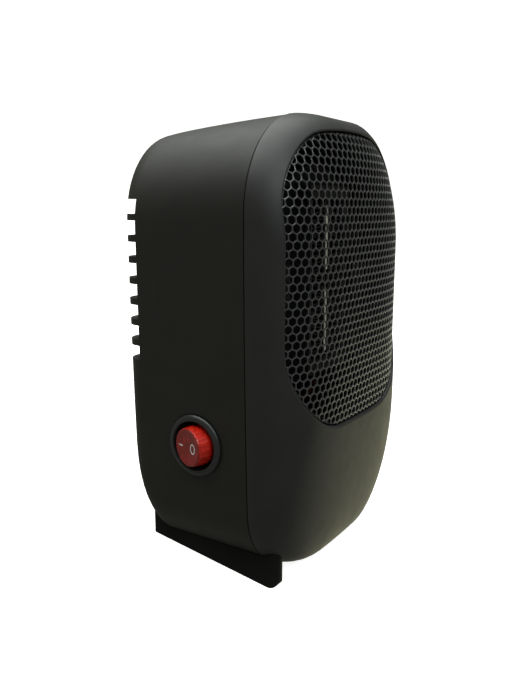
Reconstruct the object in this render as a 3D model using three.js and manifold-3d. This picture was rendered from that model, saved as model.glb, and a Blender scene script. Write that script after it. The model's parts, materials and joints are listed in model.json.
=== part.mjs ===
// Ceramic (PTC) desktop fan heater, in millimetres, +Z up, front towards -Y.
//
// The whole heater leans back on its two feet, so the housing and everything in it sit in one
// leaning group. In that group's own frame the housing is upright: x = 0 is its middle plane,
// y = 0 is the joint between the front and the rear shell, and z = 0 is the housing's underside.

import * as THREE from 'three';
import { mergeVertices } from 'three/addons/utils/BufferGeometryUtils.js';
import Module from 'manifold-3d';

const wasm = await Module();
wasm.setup();

// ---------------------------------------------------------------- driving dimensions

const HALF_WIDTH = 52;          // housing, half of its width
const HEIGHT = 163.8;           // housing height
const FRONT_DEPTH = 20.9;       // joint to the foremost point of the bulged front
const REAR_DEPTH = 55.2;        // joint to the flat back
const MIDDLE = 90;              // height the front bulge closes around
// How the front bulge closes: each edge moves in by 1 - (1 - share ** power) ** root.
const BULGE = {
  side: { power: 2.34, root: 0.325 }, top: { power: 2.74, root: 0.212 }, under: { power: 5.16, root: 0.66 },
  topCorner: 1.25, lowCorner: 1.67, tip: 0.9995,
};
const TOP_RADIUS = 34.6;        // corners of the front view
const BOTTOM_RADIUS = 25.6;
const BACK_EDGE_RADIUS = 8;     // upright back edges
const TOP_FALL = { length: 64, drop: 4.9, power: 1.3 };
const UNDER_RISE = { length: 13.7, rise: 58, power: 2.5 };
const BARREL = 0.095;           // sides draw in below and above their widest height
const BARREL_HEIGHT = 112;
const UNDER_CROWN = 2.94;       // how much the underside is lower at its middle
const WALL = 2.2;
const GAP = 0.3;                // clearance between pieces that touch
const SEAM = 0.15;              // half of the gap between the two shells
const BITE = 0.2;               // how far solids overlap where they are joined
const BEYOND = 60;              // further out than any surface of the housing
const LIP = { inset: 3.5, tip: -0.9, root: 2.5 };
const LEAN = THREE.MathUtils.degToRad(8.5);
const FLOOR = -5.3;             // height of the feet's underside below the joint
const FLOOR_CLEARANCE = 0.8;    // between the housing's underside and what the heater stands on
const SHIFT = { x: 2.61, y: -31.36 };   // brings the middle of the outer box to x = 0, y = 0

const OPENING = { halfWidth: 45.9, low: 53.5, high: 158, topRadius: 25, lowRadius: 31, arch: 7 };
const GRILLE = { inset: 0.9, thick: 0.9, border: 2.2, overlap: 1.4 };
const AIR_AXIS = 105;           // height of the fan, the heating element and the grille's middle

const SLOTS = { count: 8, pitch: 7.63, height: 5.3, start: 47, bar: 4, barAt: 17 };
const SLOT_GUARD = { thick: 1.5, start: 44.5, reach: 40, low: 72, high: 138 };

const SWITCH = {
  y: 21.8, z: 47, seat: -51.1, flangeRadius: 11.5, flange: 1.7, bodyRadius: 9.8, hole: 10.1,
  bore: 9.0, boreDepth: 11.2, depth: 17, rockerRadius: 8.7, rockerHalf: 7.8,
  pivotIn: 0.6, face: 4.5, tilt: 16,
};

const GLAND = { x: 30, z: 67, hole: 4.6, radius: 4.3, flangeRadius: 6.2, bore: 2.9 };
const CASE_SCREW = { x: 36, z: 24, boss: 4.25, recess: 3.1, hole: 1.7, seatY: 20, tipY: -8 };
const FOOT = { outer: 42.5, width: 8, front: { left: -6.8, right: -4.2 }, back: 50.4, top: 30, chamfer: 1.2 };
const FOOT_SCREW = { ys: [7, 26], boss: 4, hole: 1.3, recess: 2.2, well: 2.9, top: 14 };

const FAN = { ring: 41, wall: 2, front: 10, back: 50, blades: 7, hub: 13, tip: 39 };
const ELEMENT = { front: -4, depth: 12, halfHeight: 29, halfWidth: 13 };

// ---------------------------------------------------------------- materials

const paint = (color, roughness, metalness = 0, extra = {}) =>
  new THREE.MeshStandardMaterial({ color, roughness, metalness, ...extra });

const BLACK_SHELL = paint(0x2b2c29, 0.62);
const FRONT_SHELL = paint(0x2c3032, 0.5);
const BLACK_MESH = paint(0x26282a, 0.42, 0.5);
const RUBBER = paint(0x141513, 0.85);
const GLOSSY_BLACK = paint(0x1d1f20, 0.35);
const RED_LENS = paint(0xa8140c, 0.2, 0, { transparent: true, opacity: 0.85 });
const STEEL = paint(0xb4b6b8, 0.35, 1);
const BRASS = paint(0xc09a4a, 0.35, 1);
const ALUMINIUM = paint(0xc6c8ca, 0.4, 1);
const CERAMIC = paint(0xe4e0d4, 0.7);
const HEAT_PLASTIC = paint(0x1b1b1c, 0.6);
const BOARD = paint(0x2f5b36, 0.55);
const CAPACITOR_RED = paint(0x8c2a1c, 0.5);
const RED_WIRE = paint(0x9a1f1a, 0.5);
const BLACK_WIRE = paint(0x151515, 0.5);

// ---------------------------------------------------------------- solids

function solid(geometry) {
  const bare = geometry.clone();
  for (const name of Object.keys(bare.attributes)) {
    if (name !== 'position') bare.deleteAttribute(name);
  }
  const merged = mergeVertices(bare, 1e-4);
  const vertProperties = new Float32Array(merged.attributes.position.array);
  const triVerts = new Uint32Array(merged.index.array);
  return new wasm.Manifold(new wasm.Mesh({ numProp: 3, vertProperties, triVerts }));
}

function geometryOf(manifold) {
  const mesh = manifold.getMesh();
  const geometry = new THREE.BufferGeometry();
  geometry.setAttribute('position', new THREE.BufferAttribute(new Float32Array(mesh.vertProperties), 3));
  geometry.setIndex(new THREE.BufferAttribute(new Uint32Array(mesh.triVerts), 1));
  const flat = geometry.toNonIndexed();
  flat.computeVertexNormals();
  return flat;
}

// A closed skin over rings that all have the same number of points, capped at both ends.
function loft(rings) {
  const count = rings[0].length;
  const points = rings.flat();
  const middle = (ring) => ring.reduce((sum, p) => sum.add(p), new THREE.Vector3()).divideScalar(count);
  const startCap = points.length;
  points.push(middle(rings[0]), middle(rings.at(-1)));
  const index = [];
  for (let row = 0; row + 1 < rings.length; row++) {
    for (let i = 0; i < count; i++) {
      const a = row * count + i;
      const b = row * count + (i + 1) % count;
      index.push(a, b, b + count, a, b + count, a + count);
    }
  }
  const last = (rings.length - 1) * count;
  for (let i = 0; i < count; i++) {
    const next = (i + 1) % count;
    index.push(startCap, next, i, startCap + 1, last + i, last + next);
  }
  const geometry = new THREE.BufferGeometry().setFromPoints(points);
  geometry.setIndex(index);
  return geometry;
}

function box(x0, x1, y0, y1, z0, z1) {
  const geometry = new THREE.BoxGeometry(x1 - x0, y1 - y0, z1 - z0);
  return geometry.translate((x0 + x1) / 2, (y0 + y1) / 2, (z0 + z1) / 2);
}

// Round bars along each axis, from one coordinate to the other.
function barY(radius, x, z, y0, y1, sides = 20) {
  return new THREE.CylinderGeometry(radius, radius, y1 - y0, sides).translate(x, (y0 + y1) / 2, z);
}

function barX(radius, y, z, x0, x1, sides = 24) {
  const bar = new THREE.CylinderGeometry(radius, radius, x1 - x0, sides).rotateZ(Math.PI / 2);
  return bar.translate((x0 + x1) / 2, y, z);
}

function barZ(radius, x, y, z0, z1, sides = 16) {
  const bar = new THREE.CylinderGeometry(radius, radius, z1 - z0, sides).rotateX(Math.PI / 2);
  return bar.translate(x, y, (z0 + z1) / 2);
}

// ---------------------------------------------------------------- housing shape

// A rounded rectangle seen from the front, as a ring of points at depth y. Its lower edge is
// crowned, and its upper edge falls by `arch` towards both sides.
function frontView(y, halfWidth, high, low, topRadius, lowRadius, arch = 0, barrel = BARREL, steps = 4) {
  const corners = [
    [halfWidth - topRadius, high - topRadius, topRadius, 0],
    [topRadius - halfWidth, high - topRadius, topRadius, 1],
    [lowRadius - halfWidth, low + lowRadius, lowRadius, 2],
    [halfWidth - lowRadius, low + lowRadius, lowRadius, 3],
  ];
  const ring = [];
  const place = (across, flat) => {
    const crown = UNDER_CROWN * (1 - (across / HALF_WIDTH) ** 2) * Math.max(0, 1 - flat / MIDDLE);
    const fall = arch * (across / halfWidth) ** 2 * Math.max(0, (flat - MIDDLE) / (HEIGHT - MIDDLE));
    const height = flat - crown - fall;
    const draw = 1 - barrel * ((height - BARREL_HEIGHT) / HEIGHT) ** 2;
    ring.push(new THREE.Vector3(across * draw, y, height));
  };
  for (const [x, z, radius, quarter] of corners) {
    for (let i = 0; i <= steps; i++) {
      const turn = (quarter + i / steps) * Math.PI / 2;
      place(x + radius * Math.cos(turn), z + radius * Math.sin(turn));
    }
    if (quarter === 0) place(0, high);
    if (quarter === 2) place(0, low);
  }
  return ring;
}

// How far a rounded edge has come in, from 0 where it starts to 1 at its end.
function rounding(along, power = 2) {
  const t = Math.min(Math.max(along, 0), 1);
  return 1 - (1 - t ** power) ** (1 / power);
}

// The housing's outline at depth y, drawn in by `inset` all round.
function housingOutline(y, inset) {
  const width = HALF_WIDTH - inset;
  const high = HEIGHT - inset;
  if (y < 0) {
    const s = Math.min(-y / (FRONT_DEPTH - inset), BULGE.tip);
    const left = ({ power, root }) => (1 - s ** power) ** root;
    const w = width * left(BULGE.side);
    const top = MIDDLE + (high - MIDDLE) * left(BULGE.top);
    const bottom = MIDDLE - (MIDDLE - inset) * left(BULGE.under);
    const widest = Math.min(0.98 * w, 0.48 * (top - bottom));
    const corner = (radius, power) => {
      const start = radius - inset;
      return Math.min(start + (widest - start) * s ** power, widest);
    };
    const topRadius = corner(TOP_RADIUS, BULGE.topCorner);
    const lowRadius = corner(BOTTOM_RADIUS, BULGE.lowCorner);
    return frontView(y, w, top, bottom, topRadius, lowRadius);
  }
  const depth = REAR_DEPTH - inset;
  const edge = BACK_EDGE_RADIUS * rounding((y - depth + BACK_EDGE_RADIUS) / BACK_EDGE_RADIUS);
  const fall = TOP_FALL.drop * rounding((y - depth + TOP_FALL.length) / TOP_FALL.length, TOP_FALL.power);
  const startRise = depth - UNDER_RISE.length;
  const rise = UNDER_RISE.rise * rounding((y - startRise) / UNDER_RISE.length, UNDER_RISE.power);
  return frontView(
    y, width - edge, high - fall, inset + rise, TOP_RADIUS - inset - edge, BOTTOM_RADIUS - inset - edge,
  );
}

// The same outline, flattened underneath where it would otherwise touch the floor.
function housingRing(y, inset) {
  const lowest = y * Math.tan(LEAN) + FLOOR + FLOOR_CLEARANCE + inset;
  return housingOutline(y, inset).map((p) => p.setZ(Math.max(p.z, lowest)));
}

const REAR_ROWS = [0, 0.2, 0.45, 0.7, 0.77, 0.84, 0.9, 0.95, 0.985, 1];
const FRONT_ROWS = [0, 0.08, 0.2, 0.36, 0.52, 0.66, 0.78, 0.88, 0.95, 0.985, 0.9995];

// The rear half, from `start` back to the flat back; the front half, from `start` forwards.
function rearHalf(inset, start) {
  const depth = REAR_DEPTH - inset;
  const rows = REAR_ROWS.map((share) => Math.max(share * depth, 0.01));
  const rings = rows.map((y) => housingRing(y, inset));
  rings[0] = rings[0].map((p) => new THREE.Vector3(p.x, start, p.z));
  return solid(loft(rings.reverse()));
}

function frontHalf(inset, start) {
  const rows = FRONT_ROWS.map((share) => -share * (FRONT_DEPTH - inset));
  const rings = rows.map((y) => housingRing(y, inset));
  rings[0] = rings[0].map((p) => new THREE.Vector3(p.x, start, p.z));
  return solid(loft(rings));
}

// The grille opening as an upright prism along Y, grown by `grow` all round.
function openingPrism(grow) {
  const { halfWidth, low, high, topRadius, lowRadius, arch } = OPENING;
  const ring = (y) => frontView(
    y, halfWidth + grow, high + grow, low - grow, topRadius + grow, lowRadius + grow, arch, 0, 9,
  );
  return solid(loft([ring(30), ring(-30)]));
}

// ---------------------------------------------------------------- assembly

const heater = new THREE.Group();
const body = new THREE.Group();
body.rotation.x = -LEAN;
body.position.set(SHIFT.x, SHIFT.y, -FLOOR * Math.cos(LEAN));
heater.add(body);

function add(name, shape, material, parent = body) {
  const geometry = shape.isBufferGeometry ? shape : geometryOf(shape);
  const mesh = new THREE.Mesh(geometry, material);
  mesh.name = name;
  parent.add(mesh);
  return mesh;
}

const SIDES = [['left', -1], ['right', 1]];

function addRearShell() {
  let shell = rearHalf(0, SEAM).subtract(rearHalf(WALL, -1));

  // A lip that enters the front shell.
  const lipRing = (outer, inner, y0, y1) => {
    const tube = (inset, from, to) => {
      const ring = (y) => housingRing(0, inset).map((p) => new THREE.Vector3(p.x, y, p.z));
      return solid(loft([ring(to), ring(from)]));
    };
    return tube(outer, y0, y1).subtract(tube(inner, y0 - 1, y1 + 1));
  };
  shell = shell.add(lipRing(WALL - BITE, LIP.inset, SEAM, LIP.root));
  shell = shell.add(lipRing(WALL + GAP, LIP.inset, LIP.tip, LIP.root - 1.9));

  // Bosses for the case screws and for the foot screws, joined to the wall they stand on.
  const within = rearHalf(WALL / 2, -1);
  for (const [, side] of SIDES) {
    const x = side * CASE_SCREW.x;
    shell = shell.add(solid(barY(CASE_SCREW.boss, x, CASE_SCREW.z, SEAM, BEYOND)).intersect(within));
    for (const y of FOOT_SCREW.ys) {
      const boss = barZ(FOOT_SCREW.boss, side * (FOOT.outer - FOOT.width / 2), y, -5, FOOT_SCREW.top + 1.5);
      shell = shell.add(solid(boss).intersect(within));
    }
  }
  for (const [, side] of SIDES) {
    const x = side * CASE_SCREW.x;
    shell = shell.subtract(solid(barY(CASE_SCREW.recess, x, CASE_SCREW.z, CASE_SCREW.seatY, BEYOND)));
    shell = shell.subtract(solid(barY(CASE_SCREW.hole, x, CASE_SCREW.z, -1, 30)));
    for (const y of FOOT_SCREW.ys) {
      const x = side * (FOOT.outer - FOOT.width / 2);
      shell = shell.subtract(solid(barZ(FOOT_SCREW.hole + GAP, x, y, -10, FOOT_SCREW.top + 0.5)));
    }
  }

  // Air intake slots that wrap both upright back edges, with two upright bars left across the back.
  for (let i = 0; i < SLOTS.count; i++) {
    const z = AIR_AXIS + (i - (SLOTS.count - 1) / 2) * SLOTS.pitch;
    const outer = SLOTS.barAt + SLOTS.bar / 2;
    const inner = SLOTS.barAt - SLOTS.bar / 2;
    for (const [x0, x1] of [[-BEYOND, -outer], [-inner, inner], [outer, BEYOND]]) {
      const cut = box(x0, x1, SLOTS.start, BEYOND, z - SLOTS.height / 2, z + SLOTS.height / 2);
      shell = shell.subtract(solid(cut));
    }
  }

  // An inner guard behind the slots at each upright edge, so that they are blind round the corner.
  const { thick, start, reach, low, high } = SLOT_GUARD;
  const lining = rearHalf(WALL - BITE, -1).subtract(rearHalf(WALL + thick, -2));
  for (const [x0, x1] of [[-BEYOND, -reach], [reach, BEYOND]]) {
    shell = shell.add(lining.intersect(solid(box(x0, x1, start, BEYOND, low, high))));
  }

  // Switch hole with its flat seat, and the cord gland's hole.
  shell = shell.subtract(solid(barX(SWITCH.flangeRadius + GAP, SWITCH.y, SWITCH.z, -BEYOND, SWITCH.seat, 32)));
  shell = shell.subtract(solid(barX(SWITCH.hole, SWITCH.y, SWITCH.z, -BEYOND, SWITCH.seat + 6)));
  shell = shell.subtract(solid(barY(GLAND.hole, GLAND.x, GLAND.z, 48, BEYOND)));
  add('rear_shell', shell, BLACK_SHELL);
}

function addFrontShell() {
  const outer = frontHalf(0, -SEAM);
  const within = frontHalf(WALL / 2, 1);
  let shell = outer.subtract(frontHalf(WALL, 1)).subtract(openingPrism(0));
  for (const [, side] of SIDES) {
    const x = side * CASE_SCREW.x;
    shell = shell.add(solid(barY(CASE_SCREW.boss, x, CASE_SCREW.z, -BEYOND, -SEAM)).intersect(within));
    shell = shell.subtract(solid(barY(CASE_SCREW.hole - 0.1, x, CASE_SCREW.z, CASE_SCREW.tipY - 0.6, 1)));
  }
  add('front_shell', shell, FRONT_SHELL);
}

// The grille is a hexagonal steel mesh; here it is one closed sheet that follows the front.
function addGrille() {
  const { inset, thick, border, overlap } = GRILLE;
  const sheet = frontHalf(inset, 1).subtract(frontHalf(inset + thick, 2));
  add('front_grille', sheet.intersect(openingPrism(-0.5)), BLACK_MESH);
  const ring = frontHalf(WALL + GAP, -2.4).subtract(frontHalf(WALL + 1.5, -1));
  const frame = ring.intersect(openingPrism(overlap)).subtract(openingPrism(-border));
  add('grille_retainer', frame, HEAT_PLASTIC);
}

// Two rubber runners under the housing. Their flat undersides lie on the floor plane, and their
// tops are cut to the housing's underside.
function addFeet() {
  const envelope = rearHalf(-GAP, -0.2).add(frontHalf(-GAP, 0.2));
  const under = (y) => FLOOR + y * Math.tan(LEAN);
  for (const [name, side] of SIDES) {
    const half = FOOT.width / 2;
    const front = FOOT.front[name];
    const plan = new THREE.Shape();
    plan.moveTo(half, -front - half);
    plan.absarc(0, -front - half, half, 0, Math.PI, false);
    plan.lineTo(-half, -FOOT.back + FOOT.chamfer);
    plan.lineTo(-half + FOOT.chamfer, -FOOT.back);
    plan.lineTo(half - FOOT.chamfer, -FOOT.back);
    plan.lineTo(half, -FOOT.back + FOOT.chamfer);
    const height = FOOT.top + 15;
    const plank = new THREE.ExtrudeGeometry(plan, { depth: height, bevelEnabled: false, curveSegments: 7 });
    plank.applyMatrix4(new THREE.Matrix4().makeScale(1, -1, -1));
    plank.translate(side * (FOOT.outer - half), 0, FOOT.top);
    const position = plank.attributes.position;
    for (let i = 0; i < position.count; i++) {
      if (position.getZ(i) < 0) position.setZ(i, under(position.getY(i)));
    }
    let foot = solid(plank).subtract(envelope);
    const x = side * (FOOT.outer - half);
    for (const y of FOOT_SCREW.ys) {
      foot = foot.subtract(solid(barZ(FOOT_SCREW.hole + GAP, x, y, -20, 20)));
      foot = foot.subtract(solid(barZ(FOOT_SCREW.well, x, y, -20, under(y) + FOOT_SCREW.recess)));
    }
    add(`foot_${name}`, foot, RUBBER);
  }
}

// A pan-head screw along +Z: its head's underside at 0, head below, thread above.
function screw(headRadius, headHeight, radius, length) {
  const profile = [
    [0, -headHeight], [headRadius * 0.72, -headHeight], [headRadius, -headHeight * 0.45],
    [headRadius, 0], [radius, 0], [radius, length - radius], [radius * 0.35, length], [0, length],
  ];
  const lathe = new THREE.LatheGeometry(profile.map(([r, h]) => new THREE.Vector2(r, h)), 12);
  return lathe.rotateX(Math.PI / 2);
}

function addScrews() {
  const places = ['front', 'back'];
  for (const [name, side] of SIDES) {
    const caseScrew = add(`case_screw_${name}`, screw(2.7, 1.9, 1.3, CASE_SCREW.seatY - CASE_SCREW.tipY), STEEL);
    caseScrew.rotation.x = Math.PI / 2;
    caseScrew.position.set(side * CASE_SCREW.x, CASE_SCREW.seatY - GAP + 0.6, CASE_SCREW.z);
    FOOT_SCREW.ys.forEach((y, i) => {
      const seat = FLOOR + y * Math.tan(LEAN) + FOOT_SCREW.recess - GAP;
      const footScrew = add(`foot_screw_${name}_${places[i]}`, screw(2.5, 1.5, 1.2, 9), STEEL);
      footScrew.position.set(side * (FOOT.outer - FOOT.width / 2), y, seat);
    });
  }
}

// ---------------------------------------------------------------- power switch

function addSwitch() {
  const face = SWITCH.seat - GAP;
  const { y, z } = SWITCH;
  const flange = solid(barX(SWITCH.flangeRadius, y, z, face - SWITCH.flange, face, 32));
  let housing = flange.add(solid(barX(SWITCH.bodyRadius, y, z, face - 0.5, face + SWITCH.depth, 32)));
  const innerEnd = face - SWITCH.flange + SWITCH.boreDepth;
  housing = housing.subtract(solid(barX(SWITCH.bore, y, z, face - 5, innerEnd, 32)));
  add('switch_body', housing, GLOSSY_BLACK);

  // The rocker is a ball around the pivot, a little lower than wide and cut off by one flat face.
  // It rests tipped, with its back half pressed in.
  const round = new THREE.SphereGeometry(SWITCH.rockerRadius, 28, 18).rotateX(Math.PI / 2);
  const ball = solid(round.scale(1, 1, SWITCH.rockerHalf / SWITCH.rockerRadius));
  const beyond = solid(box(-2 * SWITCH.rockerRadius, -SWITCH.face, -20, 20, -20, 20));
  const rocker = add('rocker', ball.subtract(beyond), RED_LENS);
  rocker.position.set(face + SWITCH.pivotIn, y, z);
  rocker.rotation.z = -THREE.MathUtils.degToRad(SWITCH.tilt);

  const back = face + SWITCH.depth + GAP;
  const tabs = [['feed', -6], ['lamp', 0], ['load', 6]];
  for (const [name, offset] of tabs) {
    add(`switch_tab_${name}`, box(back, back + 8, y + offset - 0.4, y + offset + 0.4, z - 2.4, z + 2.4), BRASS);
  }
}

// ---------------------------------------------------------------- heating element

function addElement() {
  const { front, depth, halfHeight, halfWidth } = ELEMENT;
  const back = front + depth;
  const z = AIR_AXIS - 1;

  // Two ceramic stones stand one above the other on the middle plane.
  const stones = [['upper', 16], ['lower', -16]];
  for (const [name, offset] of stones) {
    add(`ptc_stone_${name}`, box(-1.2, 1.2, front + 1, back - 1, z + offset - 12, z + offset + 12), CERAMIC);
  }

  // On each side: a contact plate with a tab, a folded fin strip, and a side rail.
  const folds = 20;
  const across = 1.5;
  for (const [name, side] of SIDES) {
    const plate = solid(box(1.5, 2.3, front + 0.5, back - 0.5, z - halfHeight - 1, z + halfHeight + 1));
    const tab = solid(box(1.5, 2.3, -0.5, 4.5, z - halfHeight - 11, z - halfHeight));
    const contact = geometryOf(plate.add(tab));
    add(`contact_plate_${name}`, side < 0 ? contact.rotateZ(Math.PI).translate(0, front + back, 0) : contact, ALUMINIUM);

    const near = 2.3 + GAP;
    const far = halfWidth - GAP - across;
    const folded = [];
    for (let i = 0; i <= folds; i++) {
      const height = z - halfHeight + i * 2 * halfHeight / folds;
      folded.push(new THREE.Vector2(i % 2 ? far : near, height));
    }
    const shifted = folded.map((p) => new THREE.Vector2(p.x + across, p.y));
    const strip = new THREE.Shape([...folded, ...shifted.reverse()]);
    const fins = new THREE.ExtrudeGeometry(strip, { depth, bevelEnabled: false });
    fins.rotateX(Math.PI / 2).translate(0, back, 0);
    if (side < 0) fins.rotateZ(Math.PI).translate(0, front + back, 0);
    add(`fin_strip_${name}`, fins, ALUMINIUM);
    const rail = side < 0 ? [-halfWidth - 1.2, -halfWidth] : [halfWidth, halfWidth + 1.2];
    add(`side_rail_${name}`, box(...rail, front, back, z - halfHeight - 1, z + halfHeight + 1), ALUMINIUM);
  }

  // Heat-proof end caps hold the stack, and the frame carries them across the air duct.
  const reach = halfWidth + 2.4;
  const caps = [['top', 1], ['bottom', -1]];
  for (const [name, side] of caps) {
    const inner = z + side * (halfHeight + 1 + GAP);
    const outer = inner + side * 5;
    let cap = solid(box(-reach, reach, front - 0.5, back + 0.5, Math.min(inner, outer), Math.max(inner, outer)));
    if (side < 0) {
      cap = cap.subtract(solid(box(-2.7, 2.7, -0.9, 4.9, z - 60, z)));
    }
    add(`element_cap_${name}`, cap, CERAMIC);
  }

  const frameHalf = 42;
  const plate = solid(barY(frameHalf, 0, AIR_AXIS, 2, 4.4, 40));
  const window = solid(box(-reach - GAP, reach + GAP, -10, 20, z - halfHeight - 6.6, z + halfHeight + 6.6));
  const skirt = solid(barY(frameHalf, 0, AIR_AXIS, 4, 9.6, 40)).subtract(solid(barY(frameHalf - 2, 0, AIR_AXIS, 0, 20, 40)));
  const notch = solid(box(-3, 3, -10, 20, z - halfHeight - 13, z));
  add('element_frame', plate.add(skirt).subtract(window).subtract(notch), HEAT_PLASTIC);

  // Safety parts on the element frame's front.
  add('thermostat', box(22, 34, -3.6, 1.7, z - 6, z + 6), HEAT_PLASTIC);
  add('thermal_fuse', barZ(1.9, -26, -0.3, z - 7, z + 7, 12), STEEL);
}

// ---------------------------------------------------------------- fan

function addFan() {
  const middle = AIR_AXIS;
  const ring = solid(barY(FAN.ring + FAN.wall, 0, middle, FAN.front, FAN.back, 40));
  let duct = ring.subtract(solid(barY(FAN.ring, 0, middle, 0, 60, 40)));
  for (let i = 0; i < 3; i++) {
    const arm = box(-2, 2, 46.5, 49.5, 8, FAN.ring + 1).rotateY(i * Math.PI * 2 / 3 + Math.PI / 3);
    duct = duct.add(solid(arm.translate(0, 0, middle)));
  }
  duct = duct.add(solid(barY(13, 0, middle, 46.5, 49.5, 24)));
  add('fan_duct', duct, HEAT_PLASTIC);

  const can = solid(barY(12, 0, middle, 27.5, 46.2, 24));
  const nose = solid(barY(3.2, 0, middle, 26, 28, 16));
  add('fan_motor', can.add(nose).subtract(solid(barY(1.3, 0, middle, 20, 36, 12))), STEEL);
  add('motor_shaft', barY(1, 0, middle, 12.5, 35, 12), STEEL);

  // Impeller: a cupped hub with pitched blades.
  let wheel = solid(barY(FAN.hub, 0, middle, 13, 25, 28));
  wheel = wheel.subtract(solid(barY(FAN.hub - 1.6, 0, middle, 15, 30, 28)));
  wheel = wheel.add(solid(barY(3, 0, middle, 14, 24, 16)));
  for (let i = 0; i < FAN.blades; i++) {
    const blade = new THREE.BoxGeometry(1.4, 13, FAN.tip - FAN.hub + 1, 1, 1, 5);
    blade.translate(0, 0, (FAN.tip + FAN.hub - 1) / 2);
    const position = blade.attributes.position;
    for (let k = 0; k < position.count; k++) {
      const radius = position.getZ(k);
      const pitch = THREE.MathUtils.degToRad(62 - 22 * (radius - FAN.hub) / (FAN.tip - FAN.hub));
      const x = position.getX(k);
      const y = position.getY(k);
      position.setX(k, x * Math.cos(pitch) + y * Math.sin(pitch));
      position.setY(k, -x * Math.sin(pitch) + y * Math.cos(pitch));
    }
    blade.translate(0, 19.2, 0).rotateY(i * Math.PI * 2 / FAN.blades).translate(0, 0, middle);
    wheel = wheel.add(solid(blade));
  }
  wheel = wheel.subtract(solid(barY(1 + GAP, 0, middle, 0, 40, 12)));
  add('impeller', wheel, BLACK_SHELL);
}

// ---------------------------------------------------------------- electrics

function lead(name, points, radius, material) {
  const path = new THREE.CatmullRomCurve3(points.map((p) => new THREE.Vector3(...p)));
  const section = new THREE.Shape();
  section.absarc(0, 0, radius, 0, Math.PI * 2, false);
  const settings = { steps: 20, curveSegments: 4, extrudePath: path, bevelEnabled: false };
  add(name, new THREE.ExtrudeGeometry(section, settings), material);
}

function addElectrics() {
  const { x, z } = GLAND;
  const sleeve = solid(barY(GLAND.radius, x, z, 46, REAR_DEPTH + 1, 20));
  const flange = solid(barY(GLAND.flangeRadius, x, z, REAR_DEPTH + GAP, REAR_DEPTH + 1.8, 24));
  const bore = solid(barY(GLAND.bore, x, z, 40, 70, 20));
  add('cord_gland', sleeve.add(flange).subtract(bore), RUBBER);

  add('circuit_board', box(-18, 22, 14, 40, 13, 14.6), BOARD);
  add('rectifier', box(8, 18, 18, 26, 14.9, 21), HEAT_PLASTIC);
  add('film_capacitor', box(-14, 2, 20, 30, 14.9, 26), CAPACITOR_RED);
  add('terminal_block', box(4, 20, 30, 38, 14.9, 25), HEAT_PLASTIC);

  const tabX = SWITCH.seat + SWITCH.depth + 8.6;
  const block = 25.4;
  const supply = [[x, 45, z], [29, 42, 60], [25, 38, 44], [14, 35, 34], [12, 34, 30], [12, 34, block]];
  const feed = [[6, 34, block], [6, 34, 31], [-2, 31, 36], [-12, 22, 42], [-18, 16.5, 46], [tabX, 15.8, 47]];
  const load = [[tabX, 27.8, 47], [-18, 26, 50], [-8, 14, 54], [-2, 4, 57], [-1.9, 2, 62.4]];
  const back = [[1.9, 2, 62.4], [4, 4, 57], [12, 14, 46], [18, 28, 38], [18, 34, 31], [18, 34, block]];
  lead('lead_supply', supply, 0.9, BLACK_WIRE);
  lead('lead_switch_feed', feed, 0.9, BLACK_WIRE);
  lead('lead_switch_load', load, 0.9, RED_WIRE);
  lead('lead_return', back, 0.9, RED_WIRE);
}

addRearShell();
addFrontShell();
addGrille();
addFeet();
addScrews();
addSwitch();
addElement();
addFan();
addElectrics();

export default heater;
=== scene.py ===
"""A ceramic fan heater: its looks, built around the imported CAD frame.

The shape code works in millimetres in the housing's own upright frame: x = 0 is the middle plane,
y = 0 the joint between the two shells with the front towards -y, and z = 0 the housing's underside.
TO_ROW leans that frame back on the feet and turns it into metres.
"""
import json
import math

import bmesh
import bpy
import numpy as np
from mathutils import Matrix, Vector


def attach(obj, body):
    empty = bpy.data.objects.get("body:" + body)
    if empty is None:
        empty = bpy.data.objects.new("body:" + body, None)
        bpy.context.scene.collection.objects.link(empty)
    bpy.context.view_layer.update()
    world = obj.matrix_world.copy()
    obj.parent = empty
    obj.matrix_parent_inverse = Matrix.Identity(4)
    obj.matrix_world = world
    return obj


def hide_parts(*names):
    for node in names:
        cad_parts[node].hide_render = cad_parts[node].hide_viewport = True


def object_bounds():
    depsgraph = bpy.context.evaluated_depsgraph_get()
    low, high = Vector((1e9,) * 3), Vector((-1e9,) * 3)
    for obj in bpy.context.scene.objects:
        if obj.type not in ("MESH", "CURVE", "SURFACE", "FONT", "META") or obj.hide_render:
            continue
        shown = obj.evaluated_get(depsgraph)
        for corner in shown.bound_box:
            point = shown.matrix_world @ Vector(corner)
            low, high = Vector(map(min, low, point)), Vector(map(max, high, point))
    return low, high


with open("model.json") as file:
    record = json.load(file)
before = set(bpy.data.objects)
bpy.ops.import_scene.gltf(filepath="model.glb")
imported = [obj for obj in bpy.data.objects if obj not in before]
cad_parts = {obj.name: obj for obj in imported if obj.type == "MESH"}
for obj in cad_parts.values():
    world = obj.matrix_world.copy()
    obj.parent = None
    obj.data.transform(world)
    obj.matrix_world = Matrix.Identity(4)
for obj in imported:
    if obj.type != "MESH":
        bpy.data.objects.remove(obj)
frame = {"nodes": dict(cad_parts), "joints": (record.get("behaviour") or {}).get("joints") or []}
cad_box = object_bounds()

# ---------------------------------------------------------------- the housing's own frame

MM = 0.001
AIR_AXIS = 105                  # height of the fan's axis
FAN_DEPTH = 19.2                # of the fan's middle
JOINTS = {joint["name"]: joint for joint in frame["joints"]}
FAN_AXIS = Vector(JOINTS["fan_spin"]["axis"])
LEAN = math.atan2(-FAN_AXIS.z, FAN_AXIS.y)
FAN_CENTRE = Vector((0, FAN_DEPTH, AIR_AXIS))
TO_ROW = (
    Matrix.Translation(JOINTS["fan_spin"]["pos_m"])
    @ Matrix.Rotation(-LEAN, 4, "X")
    @ Matrix.Scale(MM, 4)
    @ Matrix.Translation(-FAN_CENTRE)
)
FROM_ROW = TO_ROW.inverted()


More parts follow.
